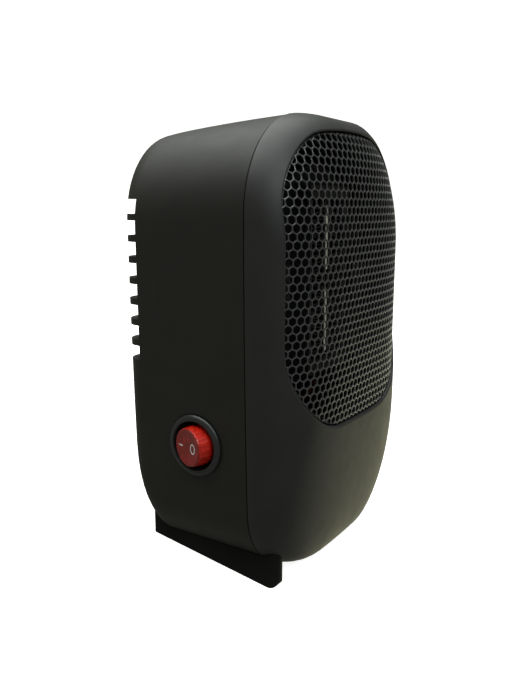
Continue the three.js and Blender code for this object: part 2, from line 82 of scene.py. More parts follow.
def local_box(node):
    """A CAD node's lowest and highest corner in the housing's frame, in millimetres."""
    points = np.array([FROM_ROW @ v.co for v in frame["nodes"][node].data.vertices])
    return points.min(0), points.max(0)


# ---------------------------------------------------------------- driving dimensions

HALF_WIDTH = 51.95
HEIGHT = 163.8
FRONT_DEPTH = 20.9
REAR_DEPTH = float(local_box("rear_shell")[1][1])
MIDDLE = 90                     # the height towards which the front closes
BULGE = {
    "side": (2.34, 0.325), "top": (2.74, 0.212), "under": (5.16, 0.66),
    "top_corner": 1.25, "low_corner": 1.67,
}
BULGE_END = 0.9995              # the share of the front's depth where its curve is cut off
TOP_RADIUS = 34.6
BOTTOM_RADIUS = 25.6
BACK_EDGE_RADIUS = 8
TOP_FALL = {"length": 64, "drop": 4.9, "power": 1.3}
UNDER_CROWN = 2.94
UNDER_RISE = {"length": 13.7, "rise": 58, "power": 2.5}
BARREL = 0.095
BARREL_HEIGHT = 112
WALL = 2.2
GAP = 0.3
FLOOR_CLEARANCE = 0.8
OUTSIDE = 60                    # beyond the housing's sides and back
SEAM = 0.15                     # half of the gap between the shells
SEAM_ROUND = 0.32

OPENING = {"half": 45.9, "low": 53.5, "high": 158, "top_radius": 25, "low_radius": 31, "arch": 7}
RIM_ROUND = 0.9
SLOTS = {"count": 8, "pitch": 7.63, "height": 5.3, "start": 47, "bar": 4, "bar_at": 17}
SLOT_GUARD = {"thick": 1.5, "start": 44.5, "reach": 40, "low": 72, "high": 138}
SWITCH = {"y": 21.8, "z": 47, "seat": -51.1, "radius": 11.5, "bore": 9.1}
ROCKER = {"face": 4.38, "hollow": 0.32, "flutes": 18}
PAINT = {"proud": 0.035, "sunk": -0.3}
BAR_MARK = {"half": 0.34, "reach": 1.7, "at": 4.4}
RING_MARK = {"half_height": 1.72, "half_width": 1.25, "at": -3.3, "stroke": 0.27, "crest": 0.18}
CASE_SCREW = {"x": 36, "z": 24, "boss": 4.25, "recess": 3.1, "hole": 1.7, "seat": 20}
NOSE_ROUND = 2.8                # the feet's lower front edge
NOSE_BLUNT = 0.12               # the share of a foot's width at the tip of its nose
FOOT_WELL = {"radius": 2.9, "hole": 1.6, "head": 1.8}
MESH = {
    "pitch": 3.195, "start": -0.57, "row0": 135.5, "web": 0.44,
    "inset": 1.35, "thick": 0.7, "round": 0.14, "margin": 0.75,
}
VIEW = {"yaw": math.radians(57.23), "pitch": math.radians(11.40), "place": (-241.17, -129.22, 130.80)}


# ---------------------------------------------------------------- outline of the housing

def column_table(corner_steps, top_steps, side_steps):
    """The points round a rounded rectangle: each lies between two points on corner arcs."""
    rows = []
    for corner in range(4):
        for i in range(corner_steps + 1):
            turn = (corner + i / corner_steps) * math.pi / 2
            rows.append((corner, turn, corner, turn, 0.0))
        turn = (corner + 1) * math.pi / 2
        steps = top_steps if corner % 2 == 0 else side_steps
        for i in range(1, steps):
            rows.append((corner, turn, (corner + 1) % 4, turn, i / steps))
    return np.array(rows).T


COLUMNS = column_table(16, 14, 30)


def arc_point(corner, turn, half, high, low, top_radius, low_radius):
    upper = corner < 2
    radius = np.where(upper, top_radius, low_radius)
    side = np.where((corner == 0) | (corner == 3), 1, -1)
    x = side * (half - radius) + radius * np.cos(turn)
    z = np.where(upper, high - radius, low + radius) + radius * np.sin(turn)
    return x, z


def draw_in(z):
    """How much the sides draw in at height z."""
    return 1 - BARREL * ((z - BARREL_HEIGHT) / HEIGHT) ** 2


def crown(x):
    """How much lower the lower edge is at x than at the sides."""
    return UNDER_CROWN * (1 - (x / HALF_WIDTH) ** 2)


def below(z):
    """The share of the crown at height z: none above the middle."""
    return np.maximum(1 - z / MIDDLE, 0)


def flatten(x, z):
    """The height z without the crown of the lower edge."""
    depth = crown(x)
    return np.where(z < MIDDLE, (z + depth) / (1 + depth / MIDDLE), z)


def outline(half, high, low, top_radius, low_radius, arch=0.0):
    """The points of COLUMNS on a rounded rectangle, whose sizes may differ from point to point.
    An arched one is the grille opening: its top falls towards its sides, which aren't drawn in."""
    corner_a, turn_a, corner_b, turn_b, t = COLUMNS
    xa, za = arc_point(corner_a, turn_a, half, high, low, top_radius, low_radius)
    xb, zb = arc_point(corner_b, turn_b, half, high, low, top_radius, low_radius)
    x = xa + (xb - xa) * t
    z = za + (zb - za) * t
    if arch:
        fall = arch * (x / half) ** 2 * np.maximum(z - MIDDLE, 0) / (HEIGHT - MIDDLE)
        return x, z - fall - crown(x) * below(z)
    z = z - crown(x) * below(z)
    return x * draw_in(z), z


def rounding(along, power=2.0):
    """How far a rounded edge has come in, from 0 where it starts to 1 at its end."""
    t = np.clip(along, 0, 1)
    return 1 - (1 - t ** power) ** (1 / power)


def front_section(s, inset):
    """Half width, top, bottom and corner radii of the front at the share s of its depth."""
    width = HALF_WIDTH - inset

    def left(edge):
        power, root = BULGE[edge]
        return (1 - s ** power) ** root

    half = width * left("side")
    high = MIDDLE + (HEIGHT - inset - MIDDLE) * left("top")
    low = MIDDLE - (MIDDLE - inset) * left("under")
    widest = np.minimum(0.98 * half, 0.48 * (high - low))
    top = TOP_RADIUS - inset
    bottom = BOTTOM_RADIUS - inset
    top_radius = np.minimum(top + (widest - top) * s ** BULGE["top_corner"], widest)
    low_radius = np.minimum(bottom + (widest - bottom) * s ** BULGE["low_corner"], widest)
    return half, high, low, top_radius, low_radius


def front_ring(s, inset, y=None):
    """A ring of the front at the share s of its depth; s may differ from point to point."""
    s = np.clip(s, 0, BULGE_END)
    x, z = outline(*front_section(s, inset))
    depth = -s * (FRONT_DEPTH - inset) if y is None else y
    return np.stack([x, depth + np.zeros_like(x), z], 1)


def floor_height(y):
    """The floor's height in the housing's frame."""
    origin = FROM_ROW @ Vector((0, 0, 0))
    return origin.z + (y - origin.y) * math.tan(LEAN)


def rear_section(y, inset):
    """Half width, top, bottom and corner radii of the rear at depth y."""
    depth = REAR_DEPTH - inset
    edge = BACK_EDGE_RADIUS * rounding((y - depth + BACK_EDGE_RADIUS) / BACK_EDGE_RADIUS)
    fall = TOP_FALL["drop"] * rounding((y - depth) / TOP_FALL["length"] + 1, TOP_FALL["power"])
    rise = UNDER_RISE["rise"] * rounding((y - depth) / UNDER_RISE["length"] + 1, UNDER_RISE["power"])
    corner = inset + edge
    return (
        HALF_WIDTH - inset - edge, HEIGHT - inset - fall, inset + rise,
        TOP_RADIUS - corner, BOTTOM_RADIUS - corner,
    )


def rear_ring(y, inset, at=None):
    """A ring of the rear at depth y, or the same outline moved to depth `at`. It is flattened
    underneath where it would otherwise touch the floor."""
    x, z = outline(*rear_section(y, inset))
    z = np.maximum(z, floor_height(y) + FLOOR_CLEARANCE + inset)
    return np.stack([x, np.full_like(x, y if at is None else at), z], 1)


def box_distance(x, z, half, high, low, top_radius, low_radius):
    """Signed distance to a rounded rectangle, and the direction straight away from it."""
    upper = z > (high + low) / 2
    radius = np.where(upper, top_radius, low_radius)
    side = np.where(x < 0, -1.0, 1.0)
    qx = np.abs(x) - (half - radius)
    qz = np.where(upper, z - (high - radius), low + radius - z)
    reach = np.hypot(np.maximum(qx, 0), np.maximum(qz, 0))
    distance = reach + np.minimum(np.maximum(qx, qz), 0) - radius
    corner = reach > 1e-9
    safe = np.where(corner, reach, 1)
    away_x = np.where(corner, np.maximum(qx, 0) / safe, qx >= qz) * side
    away_z = np.where(corner, np.maximum(qz, 0) / safe, qx < qz) * np.where(upper, 1, -1)
    return distance, away_x, away_z


def opening_distance(x, z):
    """Signed distance to the grille opening's outline, and the direction straight away from it."""
    o = OPENING
    fall = o["arch"] * (x / o["half"]) ** 2 / (HEIGHT - MIDDLE)
    flat_z = np.where(z > MIDDLE, (z - fall * MIDDLE) / (1 - fall), flatten(x, z))
    return box_distance(x, flat_z, o["half"], o["high"], o["low"], o["top_radius"], o["low_radius"])


def bisect(inside, low, high, steps=44):
    """The value between low and high, point by point, where inside() turns from True to False."""
    for _ in range(steps):
        middle = (low + high) / 2
        keep = inside(middle)
        low = np.where(keep, middle, low)
        high = np.where(keep, high, middle)
    return low


def front_depth(x, z, inset):
    """How far forward the front surface is at (x, z), as a y value."""
    flat_x = x / draw_in(z)
    flat_z = flatten(flat_x, z)
    s = bisect(
        lambda s: box_distance(flat_x, flat_z, *front_section(s, inset))[0] < 0,
        np.zeros_like(x), np.full_like(x, BULGE_END),
    )
    return -s * (FRONT_DEPTH - inset)


def opening_share(inset, grow):
    """For each column, the share of the depth where it reaches the opening's outline."""
    def outside(s):
        ring = front_ring(s, inset)
        return opening_distance(ring[:, 0], ring[:, 2])[0] > grow
    count = COLUMNS.shape[1]
    return bisect(outside, np.zeros(count), np.full(count, BULGE_END))


# ---------------------------------------------------------------- mesh helpers

def make(name, points, faces, sharp=40, place=TO_ROW):
    """An object from points and faces, with its place in its mesh and outward normals."""
    mesh = bpy.data.meshes.new(name)
    mesh.from_pydata([tuple(p) for p in points], [], [list(f) for f in faces])
    work = bmesh.new()
    work.from_mesh(mesh)
    bmesh.ops.recalc_face_normals(work, faces=work.faces)
    work.to_mesh(mesh)
    work.free()
    mesh.transform(place)
    obj = bpy.data.objects.new(name, mesh)
    bpy.context.scene.collection.objects.link(obj)
    shade(obj, sharp)
    return obj


def shade(obj, sharp):
    obj.data.polygons.foreach_set("use_smooth", [True] * len(obj.data.polygons))
    obj.data.set_sharp_from_angle(angle=math.radians(sharp))


def tube_faces(rows, columns, caps=True, loop=False):
    """Quads over rows of closed rings, with an end cap on the first and last ring."""
    faces = []
    for row in range(rows if loop else rows - 1):
        for i in range(columns):
            a = row * columns + i
            b = row * columns + (i + 1) % columns
            shift = ((row + 1) % rows - row) * columns
            faces.append((a, b, b + shift, a + shift))
    if caps and not loop:
        faces.append(tuple(range(columns)))
        faces.append(tuple((rows - 1) * columns + i for i in range(columns)))
    return faces


def skin(name, rings, caps=True, loop=False, sharp=40, place=TO_ROW):
    """A closed surface over rings with the same number of points."""
    faces = tube_faces(len(rings), len(rings[0]), caps, loop)
    return make(name, np.concatenate(rings), faces, sharp, place)


def lathe(name, profile, place, steps=72, sharp=35):
    """A profile of (radius, height) points turned round the local z axis of `place`."""
    turns = np.linspace(0, 2 * math.pi, steps, endpoint=False)
    circle = np.stack([np.cos(turns), np.sin(turns)], 1)
    loop = profile[0][0] > 0
    rings = [
        np.column_stack([circle * max(radius, 1e-4), np.full(steps, height)]) for radius, height in profile
    ]
    return skin(name, rings, caps=not loop, loop=loop, sharp=sharp, place=place)


def along(axis, x=0.0, y=0.0, z=0.0):
    """A frame at a point whose z axis runs along the housing's `axis`."""
    turn = {
        "x": Matrix.Rotation(math.pi / 2, 4, "Y"),
        "y": Matrix.Rotation(-math.pi / 2, 4, "X"),
        "z": Matrix.Identity(4),
        "-x": Matrix.Rotation(-math.pi / 2, 4, "Y"),
    }[axis]
    return TO_ROW @ Matrix.Translation((x, y, z)) @ turn


def block(name, low, high, place=TO_ROW):
    corners = [(x, y, z) for x in (low[0], high[0]) for y in (low[1], high[1]) for z in (low[2], high[2])]
    faces = [(0, 1, 3, 2), (4, 6, 7, 5), (0, 4, 5, 1), (2, 3, 7, 6), (0, 2, 6, 4), (1, 5, 7, 3)]
    return make(name, corners, faces, place=place)


def apply_modifiers(obj):
    bpy.context.view_layer.update()
    graph = bpy.context.evaluated_depsgraph_get()
    mesh = bpy.data.meshes.new_from_object(obj.evaluated_get(graph))
    obj.modifiers.clear()
    obj.data = mesh


def combine(obj, other, operation):
    """A boolean of obj with one other closed object, which is used up."""
    modifier = obj.modifiers.new("boolean", "BOOLEAN")
    modifier.object = other
    modifier.operation = operation
    modifier.solver = "EXACT"
    apply_modifiers(obj)
    bpy.data.objects.remove(other)


def join(first, *others):
    """One object from several; their pieces stay separate shells in one mesh."""
    work = bmesh.new()
    for obj in (first, *others):
        work.from_mesh(obj.data)
    work.to_mesh(first.data)
    work.free()
    for obj in others:
        bpy.data.objects.remove(obj)
    return first


def bevel(obj, width, segments=2, angle=38, sharp=45):
    modifier = obj.modifiers.new("bevel", "BEVEL")
    modifier.width = width * MM
    modifier.segments = segments
    modifier.limit_method = "ANGLE"
    modifier.angle_limit = math.radians(angle)
    apply_modifiers(obj)
    shade(obj, sharp)


def weigh_normals(obj):
    modifier = obj.modifiers.new("normals", "WEIGHTED_NORMAL")
    modifier.keep_sharp = True
    apply_modifiers(obj)


def place_piece(obj, material, body="root", replaces=()):
    obj.data.materials.clear()
    obj.data.materials.append(material)
    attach(obj, body)
    if replaces:
        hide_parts(*replaces)
    return obj


# ---------------------------------------------------------------- materials

def new_material(name):
    material = bpy.data.materials.new(name)
    material.use_nodes = True
    nodes = material.node_tree.nodes
    return material, nodes, material.node_tree.links, nodes["Principled BSDF"]


def surface(
    name, color, rough, metal=0.0, specular=0.5, coat=0.0,
    grain=0.25, grain_depth=0.01, mottle=0.12, mottle_size=14.0, rough_spread=0.06, **sockets,
):
    """A procedural material. grain is the size of the surface's fine bumps and grain_depth their
    height, both in mm; mottle is the share that the colour varies over patches of mottle_size mm."""
    material, nodes, links, shader = new_material(name)
    shader.inputs["Metallic"].default_value = metal
    shader.inputs["Specular IOR Level"].default_value = specular
    shader.inputs["Coat Weight"].default_value = coat
    for socket, value in sockets.items():
        shader.inputs[socket.replace("_", " ")].default_value = value
    place = nodes.new("ShaderNodeTexCoord").outputs["Object"]

    def noise(size, detail):
        node = nodes.new("ShaderNodeTexNoise")
        node.inputs["Scale"].default_value = 1000 / size
        node.inputs["Detail"].default_value = detail
        links.new(place, node.inputs["Vector"])
        return node.outputs["Fac"]

    patches = noise(mottle_size, 5)
    fine = noise(grain, 2)
    ramp = nodes.new("ShaderNodeValToRGB")
    for element, share in zip(ramp.color_ramp.elements, (1 - mottle, 1 + mottle)):
        element.color = (*[min(c * share, 1) for c in color], 1)
    ramp.color_ramp.elements[0].position = 0.3
    ramp.color_ramp.elements[1].position = 0.7
    links.new(patches, ramp.inputs["Fac"])
    links.new(ramp.outputs["Color"], shader.inputs["Base Color"])
    spread = nodes.new("ShaderNodeMapRange")
    spread.inputs["To Min"].default_value = max(rough - rough_spread, 0.02)
    spread.inputs["To Max"].default_value = rough + rough_spread
    links.new(noise(mottle_size * 0.4, 3), spread.inputs["Value"])
    links.new(spread.outputs["Result"], shader.inputs["Roughness"])
    bump = nodes.new("ShaderNodeBump")
    bump.inputs["Distance"].default_value = grain_depth * MM
    bump.inputs["Strength"].default_value = 1.0
    links.new(fine, bump.inputs["Height"])
    links.new(bump.outputs["Normal"], shader.inputs["Normal"])
    return material


# Both shells are one black plastic: the rear's olive tint and the front's cool tint are painted light, the
# casts of warm and cool lamps on them.
REAR_SHELL = surface(
    "rear_shell_plastic", (0.0110, 0.0115, 0.0088), 0.52, specular=0.36, grain=0.34, grain_depth=0.016,
)
FRONT_SHELL = surface(
    "front_shell_plastic", (0.0115, 0.0122, 0.0118), 0.5, specular=0.5, grain=0.30, grain_depth=0.007,
)
MESH_METAL = surface(
    "mesh_paint", (0.030, 0.032, 0.034), 0.3, specular=0.9, coat=0.3, grain=0.12, grain_depth=0.003,
)
RUBBER = surface(
    "rubber", (0.006, 0.0065, 0.005), 0.72, specular=0.15, grain=0.22, grain_depth=0.02, mottle=0.2,
)
HEAT_PLASTIC = surface(
    "heat_plastic", (0.004, 0.004, 0.0045), 0.6, specular=0.15, grain=0.3, grain_depth=0.01,
)
SWITCH_BLACK = surface(
    "switch_plastic", (0.016, 0.018, 0.019), 0.34, specular=0.5, grain=0.2, grain_depth=0.004,
)
STEEL = surface("zinc_steel", (0.50, 0.51, 0.52), 0.34, metal=1.0, grain=0.15, grain_depth=0.004)
BRASS = surface("brass", (0.66, 0.48, 0.20), 0.32, metal=1.0, grain=0.15, grain_depth=0.004)
# Aluminium drawn nearly black: painted shade, standing for the dark inside of the housing on the element's
# plates, rails and fins.
ALUMINIUM_PAINTED_SHADE = surface("aluminium", (0.05, 0.05, 0.052), 0.5, metal=0.8, grain=0.2, grain_depth=0.006)
CERAMIC = surface("ptc_ceramic", (0.62, 0.59, 0.50), 0.75, specular=0.3, grain=0.2, grain_depth=0.012)
# The end caps' ceramic is drawn nearly black: painted shade for the dark inside of the housing.
CAP_CERAMIC_PAINTED_SHADE = surface("cap_ceramic", (0.012, 0.0115, 0.011), 0.7, specular=0.2, grain=0.2, grain_depth=0.015)
IMPELLER = surface("impeller_plastic", (0.012, 0.012, 0.013), 0.5, specular=0.35)
BOARD = surface("board", (0.02, 0.09, 0.035), 0.45, grain=0.4, grain_depth=0.01)
CAPACITOR = surface("capacitor_resin", (0.24, 0.03, 0.012), 0.3, coat=0.4)
TERMINAL = surface("terminal_plastic", (0.07, 0.07, 0.072), 0.55)
WIRE_BLACK = surface("wire_black", (0.012, 0.012, 0.012), 0.45)
WIRE_RED = surface("wire_red", (0.07, 0.006, 0.005), 0.55)
MARK_WHITE = surface("mark_paint", (0.62, 0.58, 0.58), 0.5, grain=0.1, grain_depth=0.004, mottle=0.05)


def red_lens(name, color, scatter, rough, coat):
    """Clear red plastic over a lamp carrier: it glows where light comes through it."""
    return surface(
        name, color, rough, specular=0.4, coat=coat, grain=1.4, grain_depth=0.012, mottle=0.28,
        mottle_size=2.6, rough_spread=0.04, Subsurface_Weight=scatter, Subsurface_Scale=0.004,
        Coat_Roughness=0.12,
    )


LENS_FACE = red_lens("red_lens_face", (0.23, 0.010, 0.007), 0.2, 0.34, 0.15)
# The wall is a brighter copy of the face's red plastic with more scatter: painted light, where light shines
# through the rocker's side.
LIT_LENS_WALL = red_lens("red_lens_wall_lit", (0.48, 0.012, 0.004), 0.5, 0.3, 0.3)

CARRIED_OVER = {
    HEAT_PLASTIC: ("grille_retainer", "element_frame", "thermostat", "fan_duct", "rectifier"),
    STEEL: ("fan_motor", "motor_shaft"),
    BRASS: ("switch_tab_feed", "switch_tab_lamp", "switch_tab_load"),
    CERAMIC: ("ptc_stone_upper", "ptc_stone_lower"),
    # The thermal fuse, a steel part, takes this dark colour too: painted shade that hides its glint behind
    # the mesh.
    CAP_CERAMIC_PAINTED_SHADE: ("element_cap_top", "element_cap_bottom", "thermal_fuse"),
    ALUMINIUM_PAINTED_SHADE: ("contact_plate_left", "contact_plate_right", "side_rail_left", "side_rail_right"),
    BOARD: ("circuit_board",),
    CAPACITOR: ("film_capacitor",),
    TERMINAL: ("terminal_block",),
    WIRE_BLACK: ("lead_supply", "lead_switch_feed"),
    WIRE_RED: ("lead_return", "lead_switch_load"),
}


def paint_carried_over():
    for material, names in CARRIED_OVER.items():
        for name in names:
            data = frame["nodes"][name].data
            data.materials.clear()
            data.materials.append(material)


# ---------------------------------------------------------------- housing

def rear_profile(inset):
    """Depths of the rear shell's rings at this inset, close together where its back curves."""
    depth = REAR_DEPTH - inset
    bend = depth - UNDER_RISE["length"]
    straight = np.linspace(4, bend - 1.5, 7)
    turn = np.radians(np.linspace(3, 90, 30))
    return np.concatenate([straight, bend + UNDER_RISE["length"] * np.sin(turn)])


def rear_solid(name, inset, start):
    rings = [rear_ring(0, inset, start)] + [rear_ring(y, inset) for y in rear_profile(inset)]
    return skin(name, rings)


def build_rear_shell():
    lip_out, lip_in = WALL + GAP, WALL + 1.3
    inner = [rear_ring(y, WALL) for y in rear_profile(WALL)[::-1]]
    lip = [
        rear_ring(0, WALL, 3.2), rear_ring(0, lip_in, 2.6), rear_ring(0, lip_in, -0.9),
        rear_ring(0, lip_out, -0.9), rear_ring(0, lip_out, SEAM),
    ]
    edge = [
        rear_ring(0, SEAM_ROUND * (1 - math.sin(turn)), SEAM + SEAM_ROUND * (1 - math.cos(turn)))
        for turn in np.radians([0, 30, 60, 90])
    ]
    outer = [rear_ring(y, 0) for y in rear_profile(0)]
    shell = skin("rear_housing", inner + lip + edge + outer)

    for side in (-1, 1):
        boss = lathe(
            "boss", [(0, 0), (CASE_SCREW["boss"], 0), (CASE_SCREW["boss"], OUTSIDE), (0, OUTSIDE)],
            along("y", side * CASE_SCREW["x"], SEAM, CASE_SCREW["z"]), steps=40,
        )
        combine(boss, rear_solid("within", WALL / 2, -1), "INTERSECT")
        combine(shell, boss, "UNION")

    cutters = []
    half = SLOTS["height"] / 2
    bar_in = SLOTS["bar_at"] - SLOTS["bar"] / 2
    bar_out = SLOTS["bar_at"] + SLOTS["bar"] / 2
    for i in range(SLOTS["count"]):
        z = AIR_AXIS + (i - (SLOTS["count"] - 1) / 2) * SLOTS["pitch"]
        for x0, x1 in ((-OUTSIDE, -bar_out), (-bar_in, bar_in), (bar_out, OUTSIDE)):
            cutters.append(block("slot", (x0, SLOTS["start"], z - half), (x1, OUTSIDE, z + half)))
    seat = -SWITCH["seat"]
    hole = SWITCH["bore"] + 1.1
    rim = SWITCH["radius"] + GAP
    cutters.append(lathe(
        "switch_cut", [(0, 42), (hole, 42), (hole, seat), (rim, seat), (rim, OUTSIDE), (0, OUTSIDE)],
        along("-x", 0, SWITCH["y"], SWITCH["z"]), steps=96,
    ))
    gland_low, gland_high = local_box("cord_gland")
    gland = (gland_low + gland_high) / 2
    cutters.append(lathe(
        "gland_cut", [(0, 48), (4.6, 48), (4.6, OUTSIDE), (0, OUTSIDE)],
        along("y", gland[0], 0, gland[2]), steps=48,
    ))
    seat, hole, recess = CASE_SCREW["seat"], CASE_SCREW["hole"], CASE_SCREW["recess"]
    for side in (-1, 1):
        cutters.append(lathe(
            "well", [(0, -4), (hole, -4), (hole, seat), (recess, seat), (recess, OUTSIDE), (0, OUTSIDE)],
            along("y", side * CASE_SCREW["x"], 0, CASE_SCREW["z"]), steps=40,
        ))
    combine(shell, join(*cutters), "DIFFERENCE")

    # The slots are blind round the two upright edges: a lining closes them from inside.
    guard = SLOT_GUARD
    for side in (-1, 1):
        lining = rear_solid("lining", WALL - 0.1, -1)
        combine(lining, rear_solid("within", WALL + guard["thick"], -2), "DIFFERENCE")
        ends = sorted((side * guard["reach"], side * OUTSIDE))
        region = block("region", (ends[0], guard["start"], guard["low"]), (ends[1], OUTSIDE, guard["high"]))
        combine(lining, region, "INTERSECT")
        combine(shell, lining, "UNION")
    bevel(shell, 0.28, segments=2, angle=42)
    weigh_normals(shell)
    return place_piece(shell, REAR_SHELL, replaces=("rear_shell",))


def build_front_shell():
    shares = 1 - (1 - np.linspace(0, 1, 46)) ** 1.7
    start = (SEAM + SEAM_ROUND) / FRONT_DEPTH
    edge = [
        front_ring(0, SEAM_ROUND * (1 - math.sin(turn)), -SEAM - SEAM_ROUND * (1 - math.cos(turn)))
        for turn in np.radians([0, 30, 60])
    ]
    reach = opening_share(0, RIM_ROUND)
    outer = [front_ring(start + (reach - start) * share, 0) for share in shares]
    rim = []
    for turn in np.radians([18, 36, 54, 72, 90]):
        ring = front_ring(opening_share(0, RIM_ROUND * (1 - math.sin(turn))), 0)
        ring[:, 1] += RIM_ROUND * (1 - math.cos(turn))
        rim.append(ring)
    reach_in = opening_share(WALL, 0)
    inner = [front_ring(reach_in * share, WALL) for share in shares[::-3]]
    inner[-1][:, 1] = -SEAM
    rings = edge + outer + rim + inner
    shell = skin("front_housing", rings, loop=True, sharp=50)
    return place_piece(shell, FRONT_SHELL, replaces=("front_shell",))


# ---------------------------------------------------------------- grille

def arc_table(inset):
    """For heights 1 mm apart, the way along the surface from the middle plane out to each x."""
    heights = np.arange(OPENING["low"] - 2, OPENING["high"] + 3, 1.0)
    widths = np.linspace(0, OPENING["half"] + 0.5, 120)
    x, z = np.meshgrid(widths, heights)
    y = front_depth(x, z, inset)
    steps = np.hypot(np.diff(x, axis=1), np.diff(y, axis=1))
    lengths = np.concatenate([np.zeros((len(heights), 1)), np.cumsum(steps, axis=1)], axis=1)
    return heights, widths, lengths


def on_sheet(way, z, table):
    """The x that lies `way` millimetres from the middle plane along the sheet, at height z."""
    heights, widths, lengths = table
    place = np.clip(z - heights[0], 0, len(heights) - 1.001)
    row = place.astype(int)
    share = place - row
    result = np.zeros_like(way)
    for k in np.unique(row):
        here = row == k
        a = np.interp(np.abs(way[here]), lengths[k], widths)
        b = np.interp(np.abs(way[here]), lengths[k + 1], widths)
        result[here] = (a + (b - a) * share[here]) * np.sign(way[here])
    return result


def sheet_normal(x, z, inset):
    """The front surface's outward direction at (x, z)."""
    step = 0.05
    slope_x = (front_depth(x + step, z, inset) - front_depth(x - step, z, inset)) / (2 * step)
    slope_z = (front_depth(x, z + step, inset) - front_depth(x, z - step, inset)) / (2 * step)
    normal = np.stack([slope_x, -np.ones_like(x), slope_z], 1)
    return normal / np.linalg.norm(normal, axis=1)[:, None]


def build_grille():
    """A pressed steel mesh: hexagonal holes with rounded corners in rows, on the bulged front."""
    pitch = MESH["pitch"]
    row_step = pitch * math.sqrt(3) / 2
    corner_radius = pitch / math.sqrt(3)
    flat = (pitch - MESH["web"]) / 2
    table = arc_table(MESH["inset"])
    margin = MESH["margin"]
    turns = np.radians(np.arange(12) * 30)
    corners = np.arange(12) % 2 == 1
    rim_radius = np.where(corners, corner_radius, pitch / 2)
    bore = np.where(corners, flat * 1.075, flat)
    lift = MESH["thick"] / 2
    rounded = MESH["round"]
    # The rings of one cell from the front's rim over the rounded edge and the bore to the back.
    layers = (
        (rim_radius, lift), (bore + rounded, lift), (bore + 0.3 * rounded, lift - 0.3 * rounded),
        (bore, lift - rounded), (bore, rounded - lift), (bore + rounded, -lift), (rim_radius, -lift),
    )
    points, index, cells = [], {}, []

    def point(way, z, off):
        key = (round(way, 2), round(z, 2), off)
        if key not in index:
            index[key] = len(points)
            points.append((way, z, off))
        return index[key]

    rows_up = math.ceil((OPENING["high"] - MESH["row0"]) / row_step) + 1
    rows_down = math.ceil((MESH["row0"] - OPENING["low"]) / row_step) + 1
    reach = math.ceil(table[2].max() / pitch) + 1
    for row in range(-rows_down, rows_up):
        z = MESH["row0"] + row * row_step
        for n in range(-reach, reach + 1):
            way = MESH["start"] + (n + 0.5 * (row % 2)) * pitch
            x = on_sheet(np.array([way]), np.array([z]), table)
            far = opening_distance(x, np.array([z]))[0][0]
            if far > corner_radius - margin or abs(way) > table[2].max():
                continue
            cells.append([
                [point(way + r * math.cos(t), z + r * math.sin(t), off) for r, t in zip(radii, turns)]
                for radii, off in layers
            ])

    way, z, off = np.array(points).T
    x = on_sheet(way, z, table)
    distance, away_x, away_z = opening_distance(x, z)
    push = np.maximum(distance + margin, 0)
    x, z = x - push * away_x, z - push * away_z
    middle = np.stack([x, front_depth(x, z, MESH["inset"]), z], 1)
    places = middle + sheet_normal(x, z, MESH["inset"]) * off[:, None]
    faces = []
    clamped = push > 0
    for rings in cells:
        for outer, inner in zip(rings, rings[1:]):
            for k in range(12):
                quad = (outer[k], outer[(k + 1) % 12], inner[(k + 1) % 12], inner[k])
                if not clamped[list(quad)].all():
                    faces.append(quad)
    mesh = bpy.data.meshes.new("grille_mesh")
    mesh.from_pydata(places.tolist(), [], faces)
    mesh.transform(TO_ROW)
    work = bmesh.new()
    work.from_mesh(mesh)
    bmesh.ops.dissolve_degenerate(work, dist=2e-5, edges=work.edges)
    bmesh.ops.delete(work, geom=[v for v in work.verts if not v.link_faces], context="VERTS")
    bmesh.ops.recalc_face_normals(work, faces=work.faces)
    work.to_mesh(mesh)
    work.free()
    obj = bpy.data.objects.new("grille_mesh", mesh)
    bpy.context.scene.collection.objects.link(obj)
    shade(obj, 30)
    place_piece(obj, MESH_METAL, replaces=("front_grille",))


def build_grille_border():
    """The sheet's plain border, which the housing's rim covers."""
    section = [(-0.35, 1.75), (-0.45, 1.55), (-0.95, 1.35), (-1.1, 1.5), (-1.1, 2.1), (-0.35, 2.2)]
    o = OPENING
    rings = []
    for grow, inset in section:
        x, z = outline(
            o["half"] + grow, o["high"] + grow, o["low"] - grow,
            o["top_radius"] + grow, o["low_radius"] + grow, o["arch"],
        )
        rings.append(np.stack([x, front_depth(x, z, inset), z], 1))
    border = skin("grille_border", rings, loop=True, sharp=50)
    place_piece(border, MESH_METAL)


# ---------------------------------------------------------------- feet and screws

def underside(x, y):
    """Height of the housing's underside at (x, y)."""
    result = np.zeros(len(x))
    lower = COLUMNS[0] == 3
    for k, (px, py) in enumerate(zip(x, y)):
        ring = rear_ring(py, 0) if py >= 0 else front_ring(-py / FRONT_DEPTH, 0)
        curve = ring[lower & (COLUMNS[4] == 0)]
        result[k] = np.interp(px, curve[:, 0], curve[:, 2])
    return result


